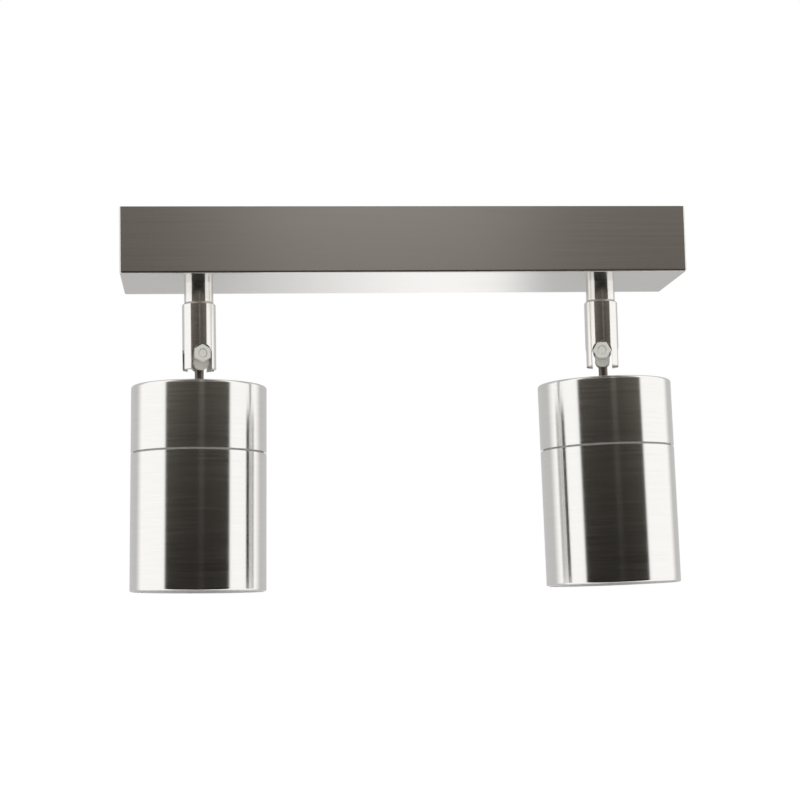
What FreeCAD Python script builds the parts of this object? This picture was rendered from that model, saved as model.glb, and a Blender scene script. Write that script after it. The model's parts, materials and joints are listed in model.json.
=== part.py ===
"""Twin spot bar: a brushed box base with two swivel-and-tilt lamp heads.

Millimetres, +Z up.  The origin is the middle of the mounting face: the bar is
fixed by its top, the two arms hang below it, +X is the viewer's right and -Y
is the side that faces the viewer.
"""
import FreeCAD, Part
import math
import os

import Sketcher

# ---------------------------------------------------------------- sizes
SIZES = {
    # base box and the bracket that carries it
    "base_length": 250.0,
    "base_depth": 55.0,
    "base_height": 29.5,
    "cover_wall": 1.2,
    "cover_edge_radius": 1.0,
    "bracket_width": 40.0,
    "bracket_thickness": 1.5,
    "bracket_tab_drop": 14.0,
    "bracket_clearance": 0.3,
    "cover_screw_drop": 8.0,
    "cover_screw_length": 8.0,
    "cover_screw_recess": 0.2,
    "socket_across": 2.0,
    "socket_depth": 2.5,
    "wall_slot_spacing": 120.0,
    "wall_slot_width": 5.0,
    "wall_slot_length": 20.0,
    "cable_hole_radius": 7.0,
    "grommet_flange": 2.0,
    "grommet_flange_thickness": 1.5,
    "grommet_wall": 2.5,
    "grommet_inset": 0.2,
    # terminal block and earth point
    "block_x": 33.0,
    "block_width": 16.0,
    "block_height": 12.0,
    "block_end_margin": 5.5,
    "way_pitch": 9.5,
    "way_drop": 6.0,
    "way_tube_radius": 2.0,
    "way_tube_bore_radius": 1.3,
    "way_tube_inset": 1.0,
    "way_screw_radius": 1.2,
    "way_screw_length": 4.8,
    "way_screw_inset": 3.5,
    "block_screw_radius": 1.5,
    "block_screw_head_radius": 2.75,
    "block_screw_head_height": 2.0,
    "earth_screw_x": -30.0,
    "earth_screw_y": 9.8,
    "earth_screw_head_radius": 3.5,
    "earth_screw_head_height": 2.6,
    "lug_radius": 4.0,
    "lug_thickness": 0.8,
    "lug_barrel_radius": 1.4,
    "lug_barrel_length": 5.0,
    "screw_end_inset": 0.1,
    # leads
    "lead_radius": 0.55,
    "lead_spacing": 1.2,
    "lead_bend_radius": 4.0,
    "lead_lane": 12.5,
    "lead_lane_step": 3.0,
    "lead_clearance": 0.05,
    "lead_joint_gap": 0.3,
    "lead_gather": 2.0,
    "earth_lead_run": 11.0,
    "earth_lead_approach": 5.0,
    "earth_lead_grip": 4.0,
    # swivel at the base
    "arm_spacing": 182.0,
    "ferrule_radius": 6.5,
    "ferrule_length": 9.0,
    "ferrule_edge": 0.3,
    "nipple_radius": 4.0,
    "nipple_bore_radius": 1.8,
    "nipple_overrun": 1.2,
    "lock_nut_across": 12.0,
    "lock_nut_thickness": 3.0,
    "lock_washer_radius": 7.0,
    "lock_washer_thickness": 0.8,
    "collar_radius": 6.0,
    "collar_thickness": 3.0,
    "swivel_washer_thickness": 0.5,
    "swivel_gap": 0.1,
    "running_clearance": 0.05,
    # arm tube, fork and pivot
    "arm_radius": 7.5,
    "arm_wall": 1.2,
    "arm_length": 30.0,
    "arm_top_wall": 1.5,
    "arm_top_chamfer": 0.7,
    "arm_end_chamfer": 0.3,
    "pivot_above_end": 6.9,
    "nut_window_width": 8.8,
    "stem_slot_clearance": 0.2,
    "fork_plug_length": 6.0,
    "fork_cheek_width": 6.6,
    "fork_cheek_face": 4.7,
    "fork_overhang": 0.3,
    "fork_bore_radius": 1.6,
    "pivot_bolt_radius": 2.0,
    "pivot_nut_across": 7.0,
    "pivot_nut_thickness": 3.2,
    "pivot_head_height": 2.8,
    "bolt_end_recess": 0.2,
    "eye_radius": 4.0,
    "eye_shoulder": 0.1,
    "eye_clearance": 0.4,
    "pivot_washer_thickness": 0.4,
    "pivot_washer_gap": 0.05,
    # stem
    "stem_radius": 2.0,
    "stem_bore_radius": 1.2,
    "stem_bore_end": 3.4,
    "lead_port_radius": 0.8,
    "stem_start": 3.0,
    "stem_flange_radius": 4.0,
    "stem_flange_thickness": 1.5,
    "stem_washer_radius": 4.5,
    "stem_washer_thickness": 0.8,
    "stem_nut_across": 7.0,
    "stem_nut_thickness": 3.2,
    "stem_overrun": 1.0,
    # head
    "pivot_to_cap": 14.3,
    "head_radius": 30.0,
    "cap_height": 29.5,
    "cap_top_thickness": 1.5,
    "cap_edge_radius": 1.2,
    "groove_height": 0.9,
    "neck_depth": 1.4,
    "neck_wall": 1.2,
    "neck_length": 8.0,
    "thread_clearance": 0.1,
    "sleeve_length": 60.3,
    "sleeve_edge_radius": 0.8,
    # lamp, holder and holder bracket
    "lamp_recess": 3.5,
    "lamp_radius": 25.0,
    "lamp_rim_height": 5.0,
    "lamp_rim_width": 1.5,
    "lamp_length": 50.0,
    "lamp_shoulder_radius": 14.0,
    "lamp_shoulder_height": 30.0,
    "lamp_neck_radius": 11.0,
    "lamp_neck_height": 36.0,
    "lens_thickness": 2.0,
    "lens_inset": 0.3,
    "lens_clearance": 0.1,
    "pin_spacing": 10.0,
    "pin_radius": 1.5,
    "pin_head_radius": 2.5,
    "pin_length": 7.0,
    "pin_head_height": 3.0,
    "pin_bore_clearance": 0.2,
    "contact_thickness": 1.0,
    "contact_inset": 0.2,
    "holder_radius": 14.0,
    "holder_height": 18.0,
    "holder_screw_spacing": 22.0,
    "holder_screw_radius": 1.5,
    "holder_screw_depth": 6.0,
    "holder_screw_head_radius": 2.75,
    "holder_screw_head_height": 2.0,
    "frame_strip_thickness": 1.0,
    "frame_strip_width": 12.0,
    "frame_leg_gap": 30.0,
    "frame_foot_length": 8.5,
    "screw_hole_clearance": 0.1,
}

# turn of each arm about the vertical and tilt of each head about its pivot bolt,
# in degrees, as the light stands at rest
SIDES = {
    "left": {"sign": -1, "pan": 12.0, "tilt": 0.8, "nut_point_up": True},
    "right": {"sign": 1, "pan": -11.0, "tilt": -1.0, "nut_point_up": False},
}

doc = FreeCAD.newDocument("twin_spot_bar")
sheet = doc.addObject("Spreadsheet::Sheet", "Sizes")
for row, (alias, number) in enumerate(SIZES.items(), start=1):
    sheet.set("A%d" % row, alias)
    sheet.set("B%d" % row, str(number))
    sheet.setAlias("B%d" % row, alias)
doc.recompute()

NODES = []
X_AXIS = FreeCAD.Vector(1, 0, 0)
Y_AXIS = FreeCAD.Vector(0, 1, 0)
Z_AXIS = FreeCAD.Vector(0, 0, 1)


def named(text):
    """The expression with every size name replaced by its cell in the sheet."""
    words = []
    word = ""
    for letter in text + " ":
        if letter.isalnum() or letter == "_":
            word += letter
            continue
        words.append("Sizes." + word if word in SIZES else word)
        words.append(letter)
        word = ""
    return "".join(words).strip()


def value(text):
    """The number that an expression of sizes gives."""
    result = sheet.evalExpression(named(text).replace("Sizes.", ""))
    return float(getattr(result, "Value", result))


def bind(item, prop, text):
    item.setExpression(prop, named(text))


def node(item, label, place=None):
    """Names a finished piece and puts it where it belongs."""
    item.Label = label
    if place is not None:
        item.Placement = place.multiply(item.Placement)
    NODES.append(item)
    return item


# ---------------------------------------------------------------- sketch helpers
def origin_plane(body, role):
    for feature in body.Origin.OriginFeatures:
        if feature.Role == role:
            return feature
    raise ValueError(role)


def new_sketch(body, role, offset="0"):
    """A sketch on one of the body's own planes, set off along its normal."""
    sketch = body.newObject("Sketcher::SketchObject", "Sketch")
    sketch.AttachmentSupport = (origin_plane(body, role), [""])
    sketch.MapMode = "FlatFace"
    bind(sketch, ".AttachmentOffset.Base.z", offset)
    return sketch


def fix_point(sketch, geometry, end, across, up):
    """Holds a point of the sketch at a place given by two expressions."""
    for kind, text in (("DistanceX", across), ("DistanceY", up)):
        constraint = Sketcher.Constraint(kind, -1, 1, geometry, end, value(text))
        bind(sketch, "Constraints[%d]" % sketch.addConstraint(constraint), text)


def polygon(sketch, points):
    """A closed outline of straight lines through points given as expressions."""
    first = sketch.GeometryCount
    corners = [FreeCAD.Vector(value(across), value(up), 0) for across, up in points]
    count = len(corners)
    for index in range(count):
        sketch.addGeometry(Part.LineSegment(corners[index], corners[(index + 1) % count]), False)
    for index in range(count):
        follower = first + (index + 1) % count
        sketch.addConstraint(Sketcher.Constraint("Coincident", first + index, 2, follower, 1))
        fix_point(sketch, first + index, 1, *points[index])


def circle(sketch, radius, across="0", up="0"):
    centre = FreeCAD.Vector(value(across), value(up), 0)
    index = sketch.addGeometry(Part.Circle(centre, Z_AXIS, value(radius)), False)
    fix_point(sketch, index, 3, across, up)
    number = sketch.addConstraint(Sketcher.Constraint("Radius", index, value(radius)))
    bind(sketch, "Constraints[%d]" % number, radius)


def rectangle(sketch, left, right, low, high):
    polygon(sketch, [(left, low), (right, low), (right, high), (left, high)])


def round_ended(sketch, half_width, round_centre, flat_end, across="0"):
    """A strip with one half-round end, centred on the sketch's own up axis."""
    reach = value(flat_end) - value(round_centre)
    radius = value(half_width)
    middle = FreeCAD.Vector(value(across), value(round_centre), 0)
    turn = math.pi if reach > 0 else 0.0
    arc = Part.ArcOfCircle(Part.Circle(middle, Z_AXIS, radius), turn, turn + math.pi)
    start = FreeCAD.Vector(middle.x + radius * math.cos(turn), middle.y, 0)
    finish = FreeCAD.Vector(middle.x - radius * math.cos(turn), middle.y, 0)
    far_start = FreeCAD.Vector(start.x, value(flat_end), 0)
    far_finish = FreeCAD.Vector(finish.x, value(flat_end), 0)
    curve = sketch.addGeometry(arc, False)
    second = sketch.addGeometry(Part.LineSegment(finish, far_finish), False)
    third = sketch.addGeometry(Part.LineSegment(far_finish, far_start), False)
    fourth = sketch.addGeometry(Part.LineSegment(far_start, start), False)
    sketch.addConstraint(Sketcher.Constraint("Tangent", curve, 2, second, 1))
    sketch.addConstraint(Sketcher.Constraint("Coincident", second, 2, third, 1))
    sketch.addConstraint(Sketcher.Constraint("Coincident", third, 2, fourth, 1))
    sketch.addConstraint(Sketcher.Constraint("Tangent", fourth, 2, curve, 1))
    sketch.addConstraint(Sketcher.Constraint("Vertical", second))
    sketch.addConstraint(Sketcher.Constraint("Vertical", fourth))
    sketch.addConstraint(Sketcher.Constraint("Horizontal", third))
    fix_point(sketch, curve, 3, across, round_centre)
    number = sketch.addConstraint(Sketcher.Constraint("Radius", curve, radius))
    bind(sketch, "Constraints[%d]" % number, half_width)
    level = Sketcher.Constraint("DistanceY", -1, 1, third, 1, value(flat_end))
    bind(sketch, "Constraints[%d]" % sketch.addConstraint(level), flat_end)


# ---------------------------------------------------------------- solid helpers
def new_body():
    return doc.addObject("PartDesign::Body", "Body")


def revolve(body, points, kind="PartDesign::Revolution"):
    """Turns a profile of (radius, height) points about the body's Z axis."""
    sketch = new_sketch(body, "XZ_Plane")
    polygon(sketch, points)
    turned = body.newObject(kind, "Turned")
    turned.Profile = sketch
    turned.ReferenceAxis = (sketch, ["V_Axis"])
    turned.Angle = 360.0
    doc.recompute()
    return turned


def pad(body, sketch, length, midplane=False, reverse=False):
    feature = body.newObject("PartDesign::Pad", "Pad")
    feature.Profile = sketch
    feature.Midplane = midplane
    feature.Reversed = reverse
    bind(feature, "Length", length)
    doc.recompute()
    return feature


def cut_through(body, sketch):
    """Cuts a sketch both ways through the whole body."""
    feature = body.newObject("PartDesign::Pocket", "Cut")
    feature.Profile = sketch
    feature.Type = "ThroughAll"
    feature.Midplane = True
    before = body.Shape.Volume
    doc.recompute()
    if not body.Shape.Volume < before:
        raise ValueError("a cut removed nothing")
    return feature


def cut_to(body, sketch, depth, reverse=False):
    """Cuts a sketch to a depth, against its normal unless reversed."""
    feature = body.newObject("PartDesign::Pocket", "Cut")
    feature.Profile = sketch
    feature.Reversed = reverse
    bind(feature, "Length", depth)
    before = body.Shape.Volume
    doc.recompute()
    if not body.Shape.Volume < before:
        raise ValueError("a cut removed nothing")
    return feature


def round_edges(body, radius, chosen, kind="PartDesign::Fillet"):
    """Rounds the edges of the body that the test picks out."""
    base = body.Tip
    names = []
    for index, edge in enumerate(body.Shape.Edges, start=1):
        if chosen(edge):
            names.append("Edge%d" % index)
    feature = body.newObject(kind, "Rounded")
    feature.Base = (base, names)
    bind(feature, "Radius", radius)
    doc.recompute()
    return feature


def ring_edge(radius, height):
    """A test for the circular edge of one radius at one height."""
    wanted_radius = value(radius)
    wanted_height = value(height)

    def matches(edge):
        if edge.Curve.TypeId != "Part::GeomCircle":
            return False
        off_radius = abs(edge.Curve.Radius - wanted_radius)
        off_height = abs(edge.Curve.Center.z - wanted_height)
        return off_radius < 1e-4 and off_height < 1e-4
    return matches


def hexagon(across, point_up):
    """Corners of a hexagon of a given width across flats, as expressions."""
    half = "(%s)/2" % across
    corner = "(%s)/sqrt(3)" % across
    low = "(%s)/sqrt(3)/2" % across
    if point_up:
        return [("0", corner), ("-" + half, low), ("-" + half, "-" + low),
                ("0", "-" + corner), (half, "-" + low), (half, low)]
    return [(corner, "0"), (low, half), ("-" + low, half),
            ("-" + corner, "0"), ("-" + low, "-" + half), (low, "-" + half)]


def cylinder(radius, height, at=("0", "0", "0"), axis=Z_AXIS):
    """A Part cylinder that starts at a place and runs along an axis."""
    item = doc.addObject("Part::Cylinder", "Cylinder")
    bind(item, "Radius", radius)
    bind(item, "Height", height)
    item.Placement = FreeCAD.Placement(FreeCAD.Vector(), FreeCAD.Rotation(Z_AXIS, axis))
    for letter, text in zip("xyz", at):
        bind(item, ".Placement.Base." + letter, text)
    return item


def box(low, size):
    item = doc.addObject("Part::Box", "Box")
    for prop, text in zip(("Length", "Width", "Height"), size):
        bind(item, prop, text)
    for letter, text in zip("xyz", low):
        bind(item, ".Placement.Base." + letter, text)
    return item


def prism(across, height, at=("0", "0", "0")):
    item = doc.addObject("Part::Prism", "Hexagon")
    item.Polygon = 6
    bind(item, "Circumradius", "(%s)/sqrt(3)" % across)
    bind(item, "Height", height)
    for letter, text in zip("xyz", at):
        bind(item, ".Placement.Base." + letter, text)
    return item


def cut(base, tool):
    item = doc.addObject("Part::Cut", "Cut")
    item.Base = base
    item.Tool = tool
    doc.recompute()
    return item


def joined(items):
    item = doc.addObject("Part::MultiFuse", "Joined")
    item.Shapes = items
    doc.recompute()
    return item


def group(items):
    item = doc.addObject("Part::Compound", "Group")
    item.Links = items
    doc.recompute()
    return item


def ring(outer, inner, height, at=("0", "0", "0"), axis=Z_AXIS):
    return cut(cylinder(outer, height, at, axis), cylinder(inner, height, at, axis))


def wire_solid(points, radius, bend):
    """A round lead along straight runs joined by tangent arcs."""
    edges = []
    start = points[0]
    for before, corner, after in zip(points, points[1:], points[2:]):
        back = (before - corner).normalize()
        ahead = (after - corner).normalize()
        half = math.acos(max(-1.0, min(1.0, back.dot(ahead)))) / 2
        reach = bend / math.tan(half)
        first = corner + back * reach
        last = corner + ahead * reach
        inward = (back + ahead).normalize()
        middle = corner + inward * (bend / math.sin(half) - bend)
        edges.append(Part.LineSegment(start, first).toShape())
        edges.append(Part.Arc(first, middle, last).toShape())
        start = last
    edges.append(Part.LineSegment(start, points[-1]).toShape())
    path = Part.Wire(edges)
    direction = (points[1] - points[0]).normalize()
    section = Part.Wire(Part.Circle(points[0], direction, radius).toShape())
    solid = path.makePipeShell([section], True, False)
    wanted = math.pi * radius ** 2 * path.Length
    if abs(solid.Volume - wanted) > 0.01 * wanted:
        raise ValueError("a lead's volume is %g, not %g" % (solid.Volume, wanted))
    return solid


def leads(routes, label, place=None):
    """One node of leads; each route is a list of points in millimetres."""
    item = doc.addObject("Part::Feature", "Leads")
    bend = value("lead_bend_radius")
    solids = [wire_solid(route, value("lead_radius"), bend) for route in routes]
    item.Shape = solids[0] if len(solids) == 1 else Part.makeCompound(solids)
    return node(item, label, place)


# ---------------------------------------------------------------- places worked out from the sizes
COVER_TOP_FACE = "-(base_height-cover_wall)"
BRACKET_HALF = "base_length/2-cover_wall-bracket_clearance"
WAY_Z = "-(bracket_thickness+way_drop)"
BLOCK_LENGTH = "2*way_pitch+2*block_end_margin"
BLOCK_LOW = "-(bracket_thickness+block_height)"
FERRULE_LOW = "-(base_height+ferrule_length)"
ARM_TOP_Z = FERRULE_LOW + "-swivel_gap"
PIVOT_Z = ARM_TOP_Z + "-arm_length+pivot_above_end"
ARM_TOP = "(arm_length-pivot_above_end)"
ARM_END = "-pivot_above_end"
ARM_BORE = "(arm_radius-arm_wall)"
EYE_HALF = "(stem_radius+eye_shoulder)"
SLOT_HALF = "(" + EYE_HALF + "+pivot_washer_thickness+2*pivot_washer_gap)"
STEM_SLOT_HALF = "(stem_radius+stem_slot_clearance)"
EYE_TOP = "(eye_radius+eye_clearance)"
CAP_TOP = "-pivot_to_cap"
CAP_INSIDE = "-(pivot_to_cap+cap_top_thickness)"
PARTING = "-(pivot_to_cap+cap_height)"
NECK_RADIUS = "(head_radius-neck_depth)"
SLEEVE_TOP = "-(pivot_to_cap+cap_height+groove_height)"
SLEEVE_END = "-(pivot_to_cap+cap_height+groove_height+sleeve_length)"
LAMP_FACE = "(" + SLEEVE_END + "+lamp_recess)"
PIN_PLANE = "(" + LAMP_FACE + "+lamp_length)"
HOLDER_TOP = "(" + PIN_PLANE + "+holder_height)"
STEM_WASHER_LOW = "(" + CAP_INSIDE + "-frame_strip_thickness-stem_washer_thickness)"
STEM_NUT_LOW = "(" + STEM_WASHER_LOW + "-stem_nut_thickness)"
STEM_END = "(" + STEM_NUT_LOW + "-stem_overrun)"
PORT_Z = "-(stem_bore_end+2*lead_port_radius)"
COLLAR_TOP = "(" + ARM_TOP_Z + "-arm_top_wall-swivel_gap-swivel_washer_thickness)"
NIPPLE_LOW = "(" + COLLAR_TOP + "-collar_thickness-nipple_overrun)"
NIPPLE_TOP = "(" + COVER_TOP_FACE + "+lock_washer_thickness+lock_nut_thickness+nipple_overrun)"


# ---------------------------------------------------------------- base
def base_cover():
    """Folded stainless box, open at the mounting face, with a hole for each arm."""
    body = new_body()
    outline = new_sketch(body, "XY_Plane")
    rectangle(outline, "-base_length/2", "base_length/2", "-base_depth/2", "base_depth/2")
    pad(body, outline, "base_height", reverse=True)
    round_edges(body, "cover_edge_radius", lambda edge: edge.CenterOfMass.z < -1e-4)
    inside = new_sketch(body, "XY_Plane")
    rectangle(inside, "-(base_length/2-cover_wall)", "base_length/2-cover_wall",
              "-(base_depth/2-cover_wall)", "base_depth/2-cover_wall")
    cut_to(body, inside, "base_height-cover_wall")
    holes = new_sketch(body, "XY_Plane")
    for sign in ("-", ""):
        circle(holes, "nipple_radius+running_clearance", sign + "arm_spacing/2")
    cut_through(body, holes)
    ends = new_sketch(body, "YZ_Plane")
    circle(ends, "pivot_bolt_radius+screw_hole_clearance", "0", "-cover_screw_drop")
    cut_through(body, ends)
    node(body, "base_cover")


def wall_bracket():
    """Galvanised strip bracket that is screwed to the wall and carries the cover."""
    body = new_body()
    outline = new_sketch(body, "XZ_Plane")
    end = "(%s)" % BRACKET_HALF
    polygon(outline, [
        ("-" + end, "0"), (end, "0"), (end, "-bracket_tab_drop"),
        (end + "-bracket_thickness", "-bracket_tab_drop"),
        (end + "-bracket_thickness", "-bracket_thickness"),
        ("-(%s-bracket_thickness)" % end, "-bracket_thickness"),
        ("-(%s-bracket_thickness)" % end, "-bracket_tab_drop"),
        ("-" + end, "-bracket_tab_drop")])
    pad(body, outline, "bracket_width", midplane=True)
    round_holes = new_sketch(body, "XY_Plane")
    circle(round_holes, "cable_hole_radius")
    circle(round_holes, "pivot_bolt_radius+running_clearance", "earth_screw_x", "earth_screw_y")
    for sign in ("-", "+"):
        circle(round_holes, "block_screw_radius+running_clearance", "block_x%sway_pitch/2" % sign)
    cut_through(body, round_holes)
    slot_half = "(wall_slot_length-wall_slot_width)/2"
    for sign in ("-", ""):
        for step in ("-", "+"):
            slot_end = new_sketch(body, "XY_Plane")
            circle(slot_end, "wall_slot_width/2", "%swall_slot_spacing/2%s%s" % (sign, step, slot_half))
            cut_through(body, slot_end)
        middle = new_sketch(body, "XY_Plane")
        rectangle(middle, "%swall_slot_spacing/2-%s" % (sign, slot_half),
                  "%swall_slot_spacing/2+%s" % (sign, slot_half),
                  "-wall_slot_width/2", "wall_slot_width/2")
        cut_through(body, middle)
    tapped = new_sketch(body, "YZ_Plane")
    circle(tapped, "pivot_bolt_radius+running_clearance", "0", "-cover_screw_drop")
    cut_through(body, tapped)
    node(body, "wall_bracket")


def cover_screws():
    """Two socket set screws that lock the cover's ends to the bracket's tabs."""
    screws = []
    for sign in (-1, 1):
        body = new_body()
        shank = new_sketch(body, "XY_Plane")
        circle(shank, "pivot_bolt_radius")
        pad(body, shank, "cover_screw_length", reverse=True)
        socket = new_sketch(body, "XY_Plane")
        polygon(socket, hexagon("socket_across", True))
        cut_to(body, socket, "socket_depth")
        place = FreeCAD.Vector(sign * value("base_length/2-cover_screw_recess"), 0,
                               -value("cover_screw_drop"))
        body.Placement = FreeCAD.Placement(place, FreeCAD.Rotation(Z_AXIS, X_AXIS * sign))
        screws.append(body)
    node(group(screws), "cover_screws")


def cable_grommet():
    """Rubber bush in the cable hole, its flange on the inside of the bracket."""
    body = new_body()
    low = "-(bracket_thickness+grommet_flange_thickness)"
    flange = "cable_hole_radius+grommet_flange"
    hub = "cable_hole_radius-running_clearance"
    bore = "cable_hole_radius-grommet_wall"
    revolve(body, [(bore, "-grommet_inset"), (hub, "-grommet_inset"), (hub, "-bracket_thickness"),
                   (flange, "-bracket_thickness"), (flange, low), (bore, low)])
    node(body, "cable_grommet")


def terminal_block():
    """Three-way screw connector: moulded block, brass tubes and their screws."""
    bores = []
    tubes = []
    screws = []
    wells = []
    for way in (-1, 0, 1):
        across = "block_x+(%d)*way_pitch" % way
        at = (across, "-block_width/2", WAY_Z)
        tube_at = (across, "-(block_width/2-way_tube_inset)", WAY_Z)
        length = "block_width-2*way_tube_inset"
        bores.append(cylinder("way_tube_radius+running_clearance", "block_width", at, Y_AXIS))
        tube = ring("way_tube_radius", "way_tube_bore_radius", length, tube_at, Y_AXIS)
        holes = []
        for sign in ("-", ""):
            up = "%s(block_width/2-way_screw_inset)" % sign
            screw_at = (across, up, WAY_Z + "-lead_radius-lead_clearance-way_screw_length")
            well_at = (across, up, BLOCK_LOW)
            depth = "block_height-way_drop"
            screws.append(cylinder("way_screw_radius", "way_screw_length", screw_at))
            holes.append(cylinder("way_screw_radius+running_clearance", "way_screw_length", screw_at))
            wells.append(cylinder("way_screw_radius+screw_hole_clearance", depth, well_at))
        tubes.append(cut(tube, group(holes)))
    fixings = []
    for step in ("-", "+"):
        across = "block_x%sway_pitch/2" % step
        head_room = "block_screw_head_height+screw_hole_clearance"
        wells.append(cylinder("block_screw_radius+screw_hole_clearance", "block_height",
                              (across, "0", BLOCK_LOW)))
        wells.append(cylinder("block_screw_head_radius+screw_hole_clearance", head_room,
                              (across, "0", BLOCK_LOW)))
        head_low = BLOCK_LOW + "+screw_hole_clearance"
        shank_low = head_low + "+block_screw_head_height"
        shank = "block_height-block_screw_head_height-screw_hole_clearance"
        shank += "+bracket_thickness-screw_end_inset"
        fixings.append(joined([
            cylinder("block_screw_head_radius", "block_screw_head_height", (across, "0", head_low)),
            cylinder("block_screw_radius", shank, (across, "0", shank_low))]))
    block = box(("block_x-(%s)/2" % BLOCK_LENGTH, "-block_width/2", BLOCK_LOW),
                (BLOCK_LENGTH, "block_width", "block_height"))
    node(cut(block, group(bores + wells)), "terminal_block")
    node(group(tubes), "terminal_tubes")
    node(group(screws), "terminal_screws")
    node(group(fixings), "terminal_block_screws")


def earth_point():
    """Ring lug under a screw in the bracket, with its crimped barrel."""
    lug_low = "-(bracket_thickness+lug_thickness)"
    barrel_z = "-(bracket_thickness+lug_barrel_radius)"
    barrel_x = "earth_screw_x+lug_radius"
    plate = cylinder("lug_radius", "lug_thickness", ("earth_screw_x", "earth_screw_y", lug_low))
    neck = box(("earth_screw_x", "earth_screw_y-lug_barrel_radius", lug_low),
               ("lug_radius+lug_barrel_length/2", "2*lug_barrel_radius", "lug_thickness"))
    barrel = cylinder("lug_barrel_radius", "lug_barrel_length",
                      (barrel_x, "earth_screw_y", barrel_z), X_AXIS)
    hole = cylinder("pivot_bolt_radius+running_clearance", "lug_thickness",
                    ("earth_screw_x", "earth_screw_y", lug_low))
    bore = cylinder("lead_radius+lead_clearance", "lug_barrel_length",
                    (barrel_x, "earth_screw_y", barrel_z), X_AXIS)
    node(cut(joined([plate, neck, barrel]), group([hole, bore])), "earth_lug")
    head_low = lug_low + "-earth_screw_head_height"
    node(joined([
        cylinder("earth_screw_head_radius", "earth_screw_head_height",
                 ("earth_screw_x", "earth_screw_y", head_low)),
        cylinder("pivot_bolt_radius", "lug_thickness+bracket_thickness-screw_end_inset",
                 ("earth_screw_x", "earth_screw_y", lug_low))]), "earth_screw")


def base_leads():
    """Live and neutral leads from the block to each arm, and the earth lead."""
    level = value(WAY_Z)
    inner = value("block_width/2-way_screw_inset")
    lanes = (value("lead_lane"), value("lead_lane+lead_lane_step"))
    half = value("lead_spacing/2")
    low = value(NIPPLE_LOW)
    routes = {"live": [], "neutral": []}
    for side in (-1, 1):
        # the left arm's leads leave the back of the block, the right arm's the front
        front = -side
        axis = side * value("arm_spacing/2")
        for name, way in (("live", 1), ("neutral", 0)):
            near = way if side > 0 else 1 - way
            lane = lanes[0] if near else lanes[1]
            down = axis - side * half if near else axis + side * half
            across = value("block_x+(%d)*way_pitch" % way)
            routes[name].append([
                FreeCAD.Vector(across, front * inner, level),
                FreeCAD.Vector(across, front * lane, level),
                FreeCAD.Vector(down, front * lane, level),
                FreeCAD.Vector(down, 0, level),
                FreeCAD.Vector(down, 0, low)])
    leads(routes["live"], "base_live_leads")
    leads(routes["neutral"], "base_neutral_leads")
    across = value("block_x-way_pitch")
    run = value("earth_screw_y")
    barrel_end = value("earth_screw_x+lug_radius+lug_barrel_length")
    barrel_z = value("-(bracket_thickness+lug_barrel_radius)")
    leads([[FreeCAD.Vector(across, inner, level),
            FreeCAD.Vector(across, run, level),
            FreeCAD.Vector(across - value("earth_lead_run"), run, level),
            FreeCAD.Vector(barrel_end + value("earth_lead_approach"), run, barrel_z),
            FreeCAD.Vector(barrel_end - value("earth_lead_grip"), run, barrel_z)]],
          "earth_lead")


def swivel_parts():
    """Ferrule, hollow stud, its nuts and washers at each arm's place."""
    nuts = []
    lock_washers = []
    collars = []
    wave_washers = []
    bore = "nipple_radius+running_clearance"
    for side, facts in SIDES.items():
        across = "%sarm_spacing/2" % ("-" if facts["sign"] < 0 else "")
        place = FreeCAD.Placement(FreeCAD.Vector(value(across), 0, 0), FreeCAD.Rotation())
        ferrule = new_body()
        edge = "ferrule_radius-ferrule_edge"
        revolve(ferrule, [
            (bore, "-base_height"), ("ferrule_radius", "-base_height"),
            ("ferrule_radius", FERRULE_LOW + "+ferrule_edge"), (edge, FERRULE_LOW),
            (bore, FERRULE_LOW)])
        node(ferrule, side + "_ferrule", place)
        nipple = new_body()
        revolve(nipple, [
            ("nipple_bore_radius", NIPPLE_LOW), ("nipple_radius", NIPPLE_LOW),
            ("nipple_radius", NIPPLE_TOP), ("nipple_bore_radius", NIPPLE_TOP)])
        node(nipple, side + "_swivel_nipple", place)
        nut_low = COVER_TOP_FACE + "+lock_washer_thickness"
        nuts.append(cut(
            prism("lock_nut_across", "lock_nut_thickness", (across, "0", nut_low)),
            cylinder(bore, "lock_nut_thickness", (across, "0", nut_low))))
        lock_washers.append(ring("lock_washer_radius", bore, "lock_washer_thickness",
                                 (across, "0", COVER_TOP_FACE)))
        collars.append(ring("collar_radius", bore, "collar_thickness",
                            (across, "0", COLLAR_TOP + "-collar_thickness")))
        wave_washers.append(ring("collar_radius", bore, "swivel_washer_thickness",
                                 (across, "0", COLLAR_TOP)))
    node(group(nuts), "swivel_lock_nuts")
    node(group(lock_washers), "swivel_lock_washers")
    node(group(collars), "swivel_collars")
    node(group(wave_washers), "swivel_wave_washers")


# ---------------------------------------------------------------- arm, in a frame whose origin is the pivot
def arm_tube(side, place):
    """Tube that turns on the hollow stud; its end has windows and stem slots."""
    body = new_body()
    hole = "nipple_radius+running_clearance"
    revolve(body, [
        (hole, ARM_TOP), ("arm_radius-arm_top_chamfer", ARM_TOP),
        ("arm_radius", ARM_TOP + "-arm_top_chamfer"),
        ("arm_radius", ARM_END + "+arm_end_chamfer"), ("arm_radius-arm_end_chamfer", ARM_END),
        (ARM_BORE, ARM_END), (ARM_BORE, ARM_TOP + "-arm_top_wall"),
        (hole, ARM_TOP + "-arm_top_wall")])
    for role, half in (("XZ_Plane", "nut_window_width/2"), ("YZ_Plane", STEM_SLOT_HALF)):
        window = new_sketch(body, role)
        round_ended(window, half, "0", ARM_END + "-1")
        cut_through(body, window)
    node(body, side + "_arm_tube", place)


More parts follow.
